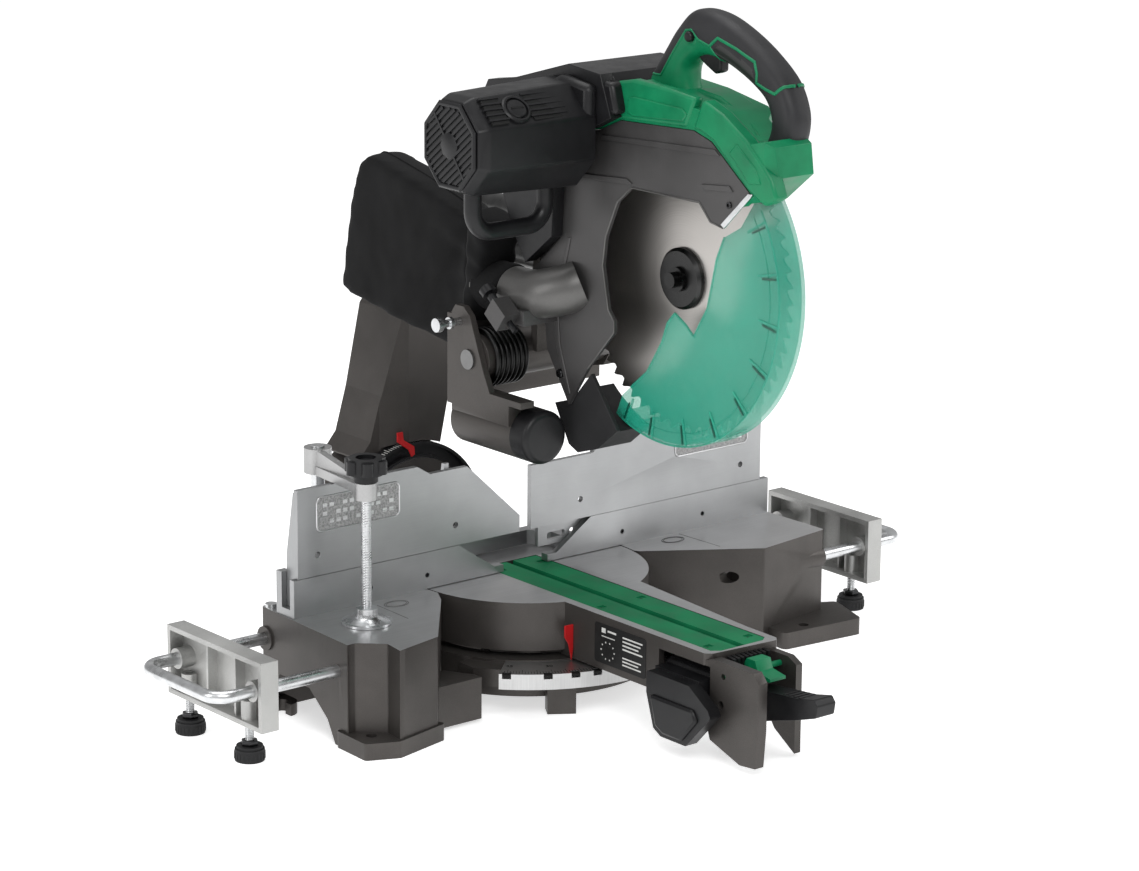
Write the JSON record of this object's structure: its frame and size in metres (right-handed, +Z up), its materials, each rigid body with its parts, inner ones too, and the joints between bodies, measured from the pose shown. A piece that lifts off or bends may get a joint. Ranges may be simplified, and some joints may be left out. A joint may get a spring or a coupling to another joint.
{
  "type": "sliding compound mitre saw",
  "caption": "Sliding compound mitre saw: turntable base with fences and pull-out supports, tilting rear arm, rail carriage and a chopping head with blade, guard, motor and dust bag.",
  "frame": {"origin": "on the bench plane, straight below the turntable's pivot, where the blade plane meets the fence face", "axes": "+Z up, +X to the saw's right along the fence, -Y towards the operator"},
  "size_m": [0.9106, 0.7372, 0.714],
  "materials": {
    "cast_grey": "satin",
    "machined": "brushed",
    "zinc": "satin",
    "plate_grey": "satin",
    "black_plastic": "satin",
    "rubber_black": "matte",
    "green": "satin",
    "cover_grey": "satin",
    "guard_green": "polished",
    "blade_steel": "brushed",
    "scale_silver": "satin",
    "red": "matte",
    "bag_fabric": "matte",
    "belt_rubber": "matte"
  },
  "bodies": {
    "base": {"base_casting": "cast_grey", "mitre_scale": "scale_silver", "fixed_fence": "machined", "base_bolts": "zinc", "pivot_bolt": "zinc"},
    "fence_left": {"sub_fence_left": "machined"},
    "fence_right": {"sub_fence_right": "machined"},
    "support_left": {"left_support_bar": "zinc", "left_support_plate": "plate_grey"},
    "support_right": {"right_support_bar": "zinc", "right_support_plate": "plate_grey"},
    "foot_lf": {"left_front_foot": "rubber_black"},
    "foot_lr": {"left_rear_foot": "rubber_black"},
    "foot_rf": {"right_front_foot": "rubber_black"},
    "foot_rr": {"right_rear_foot": "rubber_black"},
    "vise_bracket": {"vise_post": "zinc", "vise_arm": "cast_grey"},
    "vise_clamp": {"vise_pad": "zinc"},
    "vise_spindle": {"vise_screw": "zinc", "vise_knob": "black_plastic"},
    "turntable": {"turntable_casting": "cast_grey", "kerf_inserts": "green", "mitre_pointer": "red", "bevel_scale": "black_plastic", "bevel_shaft": "zinc"},
    "handle_mitre": {"mitre_handle": "black_plastic"},
    "detent": {"detent_lever": "green"},
    "bevel_lock": {"bevel_lock_rod": "zinc", "bevel_lock_lever": "black_plastic"},
    "arm": {"tilting_arm": "cast_grey", "slide_rails": "zinc", "bevel_pointer": "red"},
    "carriage": {"slide_carriage": "cast_grey", "carriage_cap": "black_plastic", "slide_bushes": "zinc", "hinge_shaft": "zinc", "return_spring": "zinc"},
    "slide_lock": {"slide_lock_knob": "black_plastic"},
    "lock_pin": {"head_lock_pin": "zinc"},
    "head": {"gear_case": "cast_grey", "drive_belt": "belt_rubber", "motor_housing": "black_plastic", "belt_cover": "black_plastic", "blade_cover": "cover_grey", "handle_frame": "green", "handle_grip": "rubber_black", "carry_handle": "black_plastic", "dust_duct": "cast_grey", "dust_guide": "rubber_black", "dust_bag": "bag_fabric"},
    "depth_stop": {"depth_stop_bolt": "black_plastic"},
    "trigger": {"trigger": "black_plastic"},
    "lock_off": {"lock_off_button": "black_plastic"},
    "blade": {"saw_blade": "blade_steel", "blade_flanges": "zinc", "blade_bolt": "zinc", "spindle_pulley": "zinc"},
    "rotor": {"motor_rotor": "zinc"},
    "guard": {"lower_guard": "guard_green"}
  },
  "joints": [
    {"name": "fence_left_slide", "type": "slide", "parent": "base", "child": "fence_left", "axis": [-1, 0, 0], "range_m": [0, 0.1]},
    {"name": "fence_right_slide", "type": "slide", "parent": "base", "child": "fence_right", "axis": [-1, 0, 0], "range_m": [-0.1, 0]},
    {"name": "support_left_slide", "type": "slide", "parent": "base", "child": "support_left", "axis": [-1, 0, 0], "range_m": [-0.05, 0.035]},
    {"name": "support_right_slide", "type": "slide", "parent": "base", "child": "support_right", "axis": [1, 0, 0], "range_m": [-0.033, 0.05]},
    {"name": "foot_lf_screw", "type": "slide", "parent": "support_left", "child": "foot_lf", "axis": [0, 0, 1], "range_m": [0, 0.008]},
    {"name": "foot_lr_screw", "type": "slide", "parent": "support_left", "child": "foot_lr", "axis": [0, 0, 1], "range_m": [0, 0.008]},
    {"name": "foot_rf_screw", "type": "slide", "parent": "support_right", "child": "foot_rf", "axis": [0, 0, 1], "range_m": [0, 0.008]},
    {"name": "foot_rr_screw", "type": "slide", "parent": "support_right", "child": "foot_rr", "axis": [0, 0, 1], "range_m": [0, 0.008]},
    {"name": "vise_swivel", "type": "hinge", "parent": "base", "child": "vise_bracket", "pos_m": [-0.232, 0.042, 0.107], "axis": [0, 0, -1], "range_deg": [-25, 20]},
    {"name": "vise_feed", "type": "slide", "parent": "vise_bracket", "child": "vise_clamp", "axis": [0, 0, -1], "range_m": [-0.1, 0]},
    {"name": "vise_turn", "type": "hinge", "parent": "vise_clamp", "child": "vise_spindle", "pos_m": [-0.242, -0.052, 0.107], "axis": [0, 0, 1], "range_deg": [-12001, 0]},
    {"name": "mitre", "type": "hinge", "parent": "base", "child": "turntable", "pos_m": [0, 0, 0.107], "axis": [0, 0, -1], "range_deg": [-50, 45]},
    {"name": "mitre_handle_pin", "type": "hinge", "parent": "turntable", "child": "handle_mitre", "pos_m": [0, -0.352, 0.061], "axis": [1, 0, 0], "range_deg": [0, 20]},
    {"name": "detent_press", "type": "hinge", "parent": "turntable", "child": "detent", "pos_m": [0, -0.355, 0.09], "axis": [1, 0, 0], "range_deg": [0, 7], "stiffness_Nm_per_rad": 0.5, "springref_deg": -17.19},
    {"name": "bevel_lock_turn", "type": "hinge", "parent": "turntable", "child": "bevel_lock", "pos_m": [-0.027, 0, 0.075], "axis": [0, 1, 0], "range_deg": [0, 18]},
    {"name": "bevel", "type": "hinge", "parent": "turntable", "child": "arm", "pos_m": [0, 0, 0.107], "axis": [0, -1, 0], "range_deg": [-45, 28]},
    {"name": "head_slide", "type": "slide", "parent": "arm", "child": "carriage", "axis": [0, 1, 0], "range_m": [0, 0.185]},
    {"name": "slide_lock_turn", "type": "hinge", "parent": "carriage", "child": "slide_lock", "pos_m": [0.086, -0.04, 0.428], "axis": [1, 0, 0], "range_deg": [-90, 90]},
    {"name": "lock_pin_push", "type": "slide", "parent": "carriage", "child": "lock_pin", "axis": [1, 0, 0], "range_m": [0, 0.009]},
    {"name": "chop", "type": "hinge", "parent": "carriage", "child": "head", "pos_m": [0, -0.036, 0.349], "axis": [1, 0, 0], "range_deg": [0, 53], "stiffness_Nm_per_rad": 20, "springref_deg": -91.67},
    {"name": "depth_stop_feed", "type": "slide", "parent": "head", "child": "depth_stop", "axis": [0, 0.8, 0.6], "range_m": [0, 0.01]},
    {"name": "trigger_press", "type": "slide", "parent": "head", "child": "trigger", "axis": [0, 0, 1], "range_m": [0, 0.006], "stiffness_N_per_m": 400, "springref_m": -0.002},
    {"name": "lock_off_press", "type": "slide", "parent": "head", "child": "lock_off", "axis": [1, 0, 0], "range_m": [0, 0.004], "stiffness_N_per_m": 300, "springref_m": -0.002},
    {"name": "blade_spin", "type": "hinge", "parent": "head", "child": "blade", "pos_m": [0, -0.24, 0.453], "axis": [1, 0, 0], "continuous": true},
    {"name": "rotor_spin", "type": "hinge", "parent": "head", "child": "rotor", "pos_m": [0, -0.13, 0.587], "axis": [1, 0, 0], "continuous": true},
    {"name": "guard_swing", "type": "hinge", "parent": "head", "child": "guard", "pos_m": [0, -0.24, 0.453], "axis": [1, 0, 0], "range_deg": [-120, 0]}
  ],
  "couplings": [
    {"joint": "vise_turn", "follows": "vise_feed", "rad_per_m": 2094.4},
    {"joint": "rotor_spin", "follows": "blade_spin", "ratio": 2},
    {"joint": "guard_swing", "follows": "chop", "ratio": -2.25}
  ]
}
